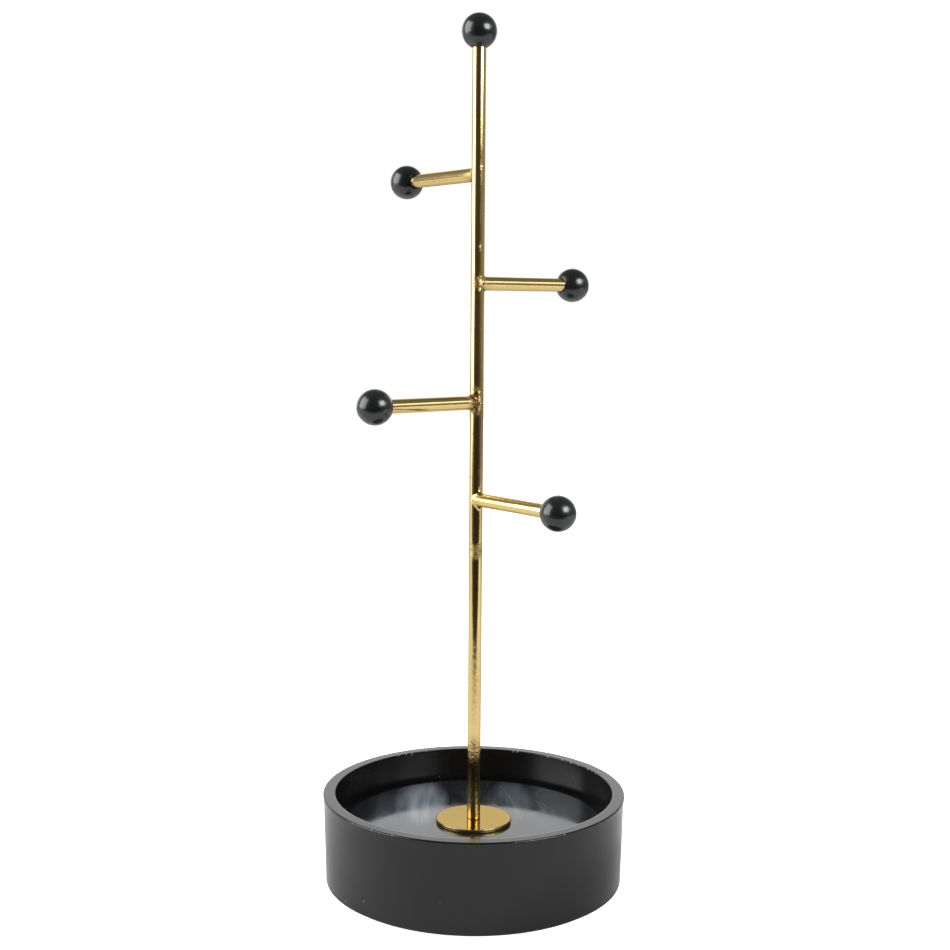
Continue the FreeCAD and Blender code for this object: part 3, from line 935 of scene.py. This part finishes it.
class STAND_OT_flange(bpy.types.Operator):
    """Model the gold flange under the stem"""
    bl_idname = "stand.flange"
    bl_label = "Base flange"

    # Painted shade: the plating is darkened browner over the flange's rounded edge.
    painted_edge_shade = 0.5

    def edge_weight(self, place, radius, edge):
        """Strength of the painted shade that darkens the plating browner, growing over the rounded edge."""
        share = (place.xy.length - radius + edge) / edge
        return self.painted_edge_shade * min(max(share, 0.0), 1.0)

    def execute(self, context):
        sizes = context.scene.stand_sizes
        low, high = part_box("base_flange")
        radius = span("base_flange").x / 2
        flange = add_upright("gold_flange", radius, low.z, high.z, FLANGE_SIDES)
        with editing(flange):
            drill_plate(flange, "base_flange", sizes.tail_hole)
            round_rings(flange, [(radius, high.z), (radius, low.z)], sizes.flange_edge)
        mark(flange, "rough_plating", lambda place: self.edge_weight(place, radius, sizes.flange_edge))
        settle(flange, "gold_plate", "base_flange", "gold_sheet")
        return {"FINISHED"}


class STAND_OT_stem(bpy.types.Operator):
    """Model the stem with its tail, roughen its plating where arms are brazed on, and darken it low down
    towards the tray with painted shade
    """
    bl_idname = "stand.stem"
    bl_label = "Stem rod"

    coarse_cuts = 19
    fine_cuts = 3
    longest_cut = 10
    wave_size = 9 * MM
    wave_height = 0.035 * MM
    lump_size = 1.1 * MM
    lump_height = 0.36 * MM

    def execute(self, context):
        sizes = context.scene.stand_sizes
        low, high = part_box("stem_rod")
        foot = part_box("base_flange")[1].z
        radius = sizes.rod_radius
        stem = add_upright("gold_stem", radius, foot, high.z, ROD_SIDES)
        with editing(stem):
            divide_along(stem, 2, self.coarse_cuts)
            divide_along(stem, 2, self.coarse_cuts)
            for height, half_height, *_ in ROUGH_AND_SHADED_SPOTS:
                if half_height < self.longest_cut:
                    divide_along(
                        stem, 2, self.fine_cuts, (height - half_height) * MM, (height + half_height) * MM)
            sink_cap(stem, foot, sizes.shoulder, low.z - foot)
            round_rings(stem, [(radius - sizes.shoulder, low.z)], sizes.tail_edge, 2)
            round_rings(stem, [(radius, foot)], sizes.seam_edge)
        # The mark carries rough plating by the arms and painted shade low on the stem.
        rough = mark(stem, "rough_plating", lambda place: rough_and_shade_at(place, radius))
        ripple(stem, "rod_waves", self.wave_size, self.wave_height)
        ripple(stem, "solder_lumps", self.lump_size, self.lump_height, rough)
        settle(stem, "gold_plate", "stem_rod")
        return {"FINISHED"}


class STAND_OT_arms(bpy.types.Operator):
    """Model an arm with its saddle, and set four of them on the stem"""
    bl_idname = "stand.arms"
    bl_label = "Arms"

    rings = 47
    wave_size = 7 * MM
    wave_height = 0.05 * MM

    def rough_root(self, place, radius):
        """Strength of the rough plating on an arm, which ends a short way from its root."""
        root = fade(max(place.xy.length / radius - 1, 0) / 2)
        return root * max(0.35, rough_and_shade_at(place, radius))

    def execute(self, context):
        sizes = context.scene.stand_sizes
        radius = sizes.rod_radius
        reach = middle(f"ball_{ARMS[0]}").xy.length
        model = add_lying("arm_model", radius, sizes.arm_root, reach - sizes.socket_floor, ROD_SIDES)
        with editing(model):
            divide_along(model, 0, self.rings)
        cut_away(model, add_upright("saddle", radius + sizes.braze_film, -2 * radius, 2 * radius, ROD_SIDES))
        for arm, rod in place_copies(model, "gold_arm", arm_places()).items():
            mark(rod, "rough_plating", lambda place: self.rough_root(place, radius))
            ripple(rod, f"arm_waves_{arm}", self.wave_size, self.wave_height)
            settle(rod, "gold_plate", f"arm_{arm}")
        return {"FINISHED"}


class STAND_OT_brazes(bpy.types.Operator):
    """Model the fillet of braze at an arm's root, and run it round each arm"""
    bl_idname = "stand.brazes"
    bl_label = "Brazes"

    around = 144
    across = 16
    lump_size = 1.3 * MM
    lump_height = 0.12 * MM

    def skin(self, turned, share, sizes):
        """A point of the fillet: an angle round the arm, and a share of the way from the arm to the stem."""
        side = math.sin(turned)
        rise = math.cos(turned)
        steep = abs(rise)
        flat = (1 - steep) ** 2
        inwards = Vector((0, -side, -rise)).lerp(Vector((-steep, -side, 0)), share).normalized()
        hollow = Vector((steep, side, rise)) * (sizes.rod_radius + sizes.braze_leg)
        swell = Vector((0, side, rise)) * (4 * share * (1 - share) * flat * sizes.braze_side)
        spread = Vector((1 - 2 * share, 0, 0)) * (flat * sizes.braze_spread)
        return hollow + inwards * sizes.braze_leg + swell + spread

    def corner(self, turned, sizes):
        """A point inside both rods, behind the fillet."""
        rise = math.cos(turned)
        depth = sizes.rod_radius - sizes.braze_side
        return Vector((abs(rise), math.sin(turned), rise)) * depth

    def execute(self, context):
        sizes = context.scene.stand_sizes
        bpy.ops.object.select_all(action="DESELECT")
        bpy.ops.mesh.primitive_torus_add(
            major_segments=self.around, minor_segments=self.across + 1, major_radius=sizes.rod_radius,
            minor_radius=sizes.braze_leg / 2)
        model = name_piece("braze_model")
        for vert in model.data.vertices:
            ring, spot = divmod(vert.index, self.across + 1)
            turned = math.tau * ring / self.around
            if spot < self.across:
                vert.co = self.skin(turned, spot / (self.across - 1), sizes)
            else:
                vert.co = self.corner(turned, sizes)
        for arm, bead in place_copies(model, "braze_bead", arm_places()).items():
            mark(bead, "rough_plating", lambda place: max(0.3, rough_and_shade_at(place, sizes.rod_radius)))
            ripple(bead, f"braze_lumps_{arm}", self.lump_size, self.lump_height)
            settle(bead, "gold_plate", f"braze_{arm}")
        return {"FINISHED"}


class STAND_OT_balls(bpy.types.Operator):
    """Model a drilled ball, and set one on every rod end"""
    bl_idname = "stand.balls"
    bl_label = "Balls"

    lip = 0.12 * MM

    def execute(self, context):
        sizes = context.scene.stand_sizes
        radius = sizes.ball_radius
        bore = sizes.rod_radius + sizes.socket_gap
        mouth = -math.sqrt(radius ** 2 - (bore + self.lip) ** 2)
        bpy.ops.object.select_all(action="DESELECT")
        bpy.ops.mesh.primitive_uv_sphere_add(
            segments=BALL_SEGMENTS, ring_count=BALL_RINGS, radius=radius, rotation=(0, math.pi / 2, 0))
        model = name_piece("ball_model")
        with editing(model):
            bpy.ops.mesh.select_all(action="SELECT")
            bpy.ops.mesh.bisect(plane_co=(mouth, 0, 0), plane_no=(-1, 0, 0), use_fill=True, clear_outer=True)
            choose(model, "faces", lambda face: near(face.calc_center_median().x, mouth))
            bpy.ops.mesh.inset(thickness=self.lip)
            bpy.ops.mesh.extrude_region_move(
                TRANSFORM_OT_translate={"value": (-sizes.socket_floor - mouth, 0, 0)})
        reach = Matrix.Translation((middle(f"ball_{ARMS[0]}").xy.length, 0, 0))
        places = {arm: place @ reach for arm, place in arm_places().items()}
        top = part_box("ball_top")[1].z - radius
        places["top"] = Matrix.Translation((0, 0, top)) @ Matrix.Rotation(-math.pi / 2, 4, "Y")
        for name, ball in place_copies(model, "black_ball", places).items():
            settle(ball, "ball_black", f"ball_{name}")
        return {"FINISHED"}


class STAND_OT_fixing(bpy.types.Operator):
    """Give the washers and the nut under the tray their zinc finish"""
    bl_idname = "stand.fixing"
    bl_label = "Hidden fixing"

    def execute(self, context):
        for name in HIDDEN_FIXING:
            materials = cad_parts[name].data.materials
            materials.clear()
            materials.append(finish_for("zinc_steel"))
        return {"FINISHED"}


# Stage


def soften_edges(light, sides, ends):
    """Lets a softbox fade over a share of its width at its sides and of its height at its ends."""
    light.use_nodes = True
    tree = light.node_tree
    across = add_node(tree, "SeparateXYZ", {0: add_node(tree, "NewGeometry").outputs["Parametric"]}).outputs
    strength = 1.0
    for axis, share in (("X", sides), ("Y", ends)):
        inside = math_node(tree, "SUBTRACT", 0.5, math_node(
            tree, "ABSOLUTE", math_node(tree, "SUBTRACT", across[axis], 0.5)))
        strength = math_node(tree, "MULTIPLY", fit(tree, inside, 0.0, share), strength)
    tree.links.new(strength, tree.nodes["Emission"].inputs["Strength"])


def add_softbox(name, azimuth, distance, height, size, softness, strength):
    """A softbox that looks at the stem, at an azimuth in degrees from the camera to the right."""
    angle = math.radians(azimuth)
    place = Vector((distance * math.sin(angle), -distance * math.cos(angle), height))
    light = bpy.data.lights.new(name, "AREA")
    light.shape = "RECTANGLE"
    light.size, light.size_y = size
    light.energy = strength * math.pi * light.size * light.size_y
    soften_edges(light, *softness)
    softbox = bpy.data.objects.new(name, light)
    towards = Vector((0, 0, LIGHT_AIM)) - place
    softbox.matrix_world = Matrix.Translation(place) @ towards.to_track_quat("-Z", "Y").to_matrix().to_4x4()
    softbox.visible_camera = False
    bpy.context.scene.collection.objects.link(softbox)
    return softbox


def light_room(stage):
    """A dim room that is dark round the camera and bright behind the stand, on white for the camera."""
    world = bpy.data.worlds.new("studio")
    bpy.context.scene.world = world
    world.use_nodes = True
    tree = world.node_tree
    direction = add_node(tree, "TexCoord").outputs["Generated"]
    place = add_node(tree, "SeparateXYZ", {0: direction}).outputs
    spill = fit(tree, place["X"], -0.25, -0.75, 0.0, 0.1)
    depth = math_node(tree, "ADD", fit_straight(tree, place["Y"], -1.0, 1.0), spill)
    ramp = add_node(tree, "ValToRGB", {"Fac": depth})
    ceiling = fit(tree, place["Z"], 0.3, 0.75, 1.0, 0.55)
    below = fit(tree, place["Z"], -0.1, -0.02, 0.5, 1.0)
    stops = ramp.color_ramp.elements
    stops[1].position, stops[1].color = 0.94, solid((1.0,) * 3)
    stops[0].color = solid(ROOM_LEVELS[0][1])
    for position, colour in ROOM_LEVELS[1:]:
        stops.new(position).color = solid(colour)
    seen = add_node(tree, "LightPath").outputs["Is Camera Ray"]
    room = tree.nodes["Background"]
    tree.links.new(ramp.outputs["Color"], room.inputs["Color"])
    level = math_node(tree, "MULTIPLY", ceiling, below)
    tree.links.new(math_node(tree, "MULTIPLY", level, stage.backdrop), room.inputs["Strength"])
    white = add_node(tree, "Background", {"Color": solid((1.0,) * 3), "Strength": 1.0})
    mixed = add_node(tree, "MixShader", {0: seen, 1: room.outputs[0], 2: white.outputs[0]})
    tree.links.new(mixed.outputs[0], tree.nodes["World Output"].inputs["Surface"])


def add_floor(stage):
    """A pale matt floor under the stand that ends in front of the camera's view."""
    bpy.ops.object.select_all(action="DESELECT")
    depth = stage.floor_front + stage.floor_reach
    bpy.ops.mesh.primitive_plane_add(
        size=1, location=(0, (stage.floor_reach - stage.floor_front) / 2, -SAME_PLACE))
    bpy.context.active_object.scale = (2 * stage.floor_reach, depth, 1)
    floor = name_piece("floor")
    finish, tree, shader = start_finish("pale_floor")
    shader.inputs["Base Color"].default_value = solid((stage.floor_white,) * 3)
    shader.inputs["Roughness"].default_value = 0.9
    shader.inputs["Specular IOR Level"].default_value = 0.0
    shader.inputs["Emission Color"].default_value = solid((1.0,) * 3)
    seen = add_node(tree, "LightPath").outputs["Is Camera Ray"]
    tree.links.new(seen, shader.inputs["Emission Strength"])
    floor.data.materials.append(finish)


def add_camera(stage):
    """The camera, standing still and level but for its pitch and its slight lean."""
    camera = bpy.data.objects.new("camera", bpy.data.cameras.new("camera"))
    camera.data.lens = stage.focal_length
    camera.data.clip_start = 10 * MM
    camera.matrix_world = (
        Matrix.Translation(stage.camera_place)
        @ Matrix.Rotation(math.pi / 2 - stage.camera_pitch, 4, "X")
        @ Matrix.Rotation(stage.camera_roll, 4, "Z"))
    bpy.context.scene.collection.objects.link(camera)
    bpy.context.scene.camera = camera


class STAND_OT_stage(bpy.types.Operator):
    """Set up the floor, the softboxes, the room and the camera"""
    bl_idname = "stand.stage"
    bl_label = "Stage"

    def execute(self, context):
        stage = context.scene.stand_stage
        add_floor(stage)
        for name, layout in SOFTBOXES.items():
            softbox = add_softbox(name, *layout, getattr(stage, name))
            softbox.visible_glossy = name != "left_wash"
        light_room(stage)
        add_camera(stage)
        context.scene.view_settings.view_transform = "Standard"
        return {"FINISHED"}


class STAND_PT_pieces(bpy.types.Panel):
    """Lists the stand's pieces, sizes and finishes in the sidebar"""
    bl_label = "Jewelry stand"
    bl_idname = "STAND_PT_pieces"
    bl_space_type = "VIEW_3D"
    bl_region_type = "UI"
    bl_category = "Stand"

    def draw(self, context):
        column = self.layout.column()
        for operator in OPERATORS:
            column.operator(operator.bl_idname)
        for settings in (context.scene.stand_sizes, context.scene.stand_finishes, context.scene.stand_stage):
            box = self.layout.box()
            for name in settings.__annotations__:
                box.prop(settings, name)


SETTINGS = {"stand_sizes": StandSizes, "stand_finishes": StandFinishes, "stand_stage": StandStage}
OPERATORS = (
    STAND_OT_tray,
    STAND_OT_pad,
    STAND_OT_disc,
    STAND_OT_flange,
    STAND_OT_stem,
    STAND_OT_arms,
    STAND_OT_brazes,
    STAND_OT_balls,
    STAND_OT_fixing,
    STAND_OT_stage,
)
CLASSES = (*SETTINGS.values(), *OPERATORS, STAND_PT_pieces)


def register():
    for kind in CLASSES:
        bpy.utils.register_class(kind)
    for name, kind in SETTINGS.items():
        setattr(bpy.types.Scene, name, PointerProperty(type=kind))


def unregister():
    for name in SETTINGS:
        delattr(bpy.types.Scene, name)
    for kind in reversed(CLASSES):
        bpy.utils.unregister_class(kind)


def main():
    register()
    bpy.ops.stand.tray()
    bpy.ops.stand.pad()
    bpy.ops.stand.disc()
    bpy.ops.stand.flange()
    bpy.ops.stand.stem()
    bpy.ops.stand.arms()
    bpy.ops.stand.brazes()
    bpy.ops.stand.balls()
    bpy.ops.stand.fixing()
    bpy.ops.stand.stage()


if __name__ == "__main__":
    main()
